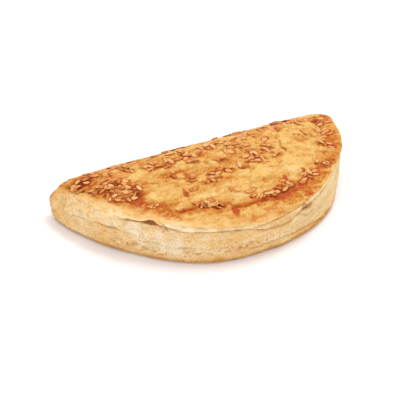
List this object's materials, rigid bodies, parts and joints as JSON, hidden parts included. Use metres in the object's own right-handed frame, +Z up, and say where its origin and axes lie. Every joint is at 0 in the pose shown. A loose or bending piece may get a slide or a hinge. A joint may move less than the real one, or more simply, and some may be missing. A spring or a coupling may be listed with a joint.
{
  "type": "chicken puff pastry turnover",
  "caption": "Half-moon savoury puff pastry turnover, eaten by hand, with a folded back, a layered sealed edge and a browned mounded crust strewn with linseeds.",
  "frame": {"origin": "centre of the flat base, on the surface the turnover rests on", "axes": "+X along the straight folded edge, +Y from the curved sealed edge to the fold, +Z up"},
  "size_m": [0.1806, 0.0912, 0.0354],
  "materials": {
    "baked_pastry": "satin"
  },
  "bodies": {
    "root": {"pastry": "baked_pastry"}
  },
  "joints": []
}
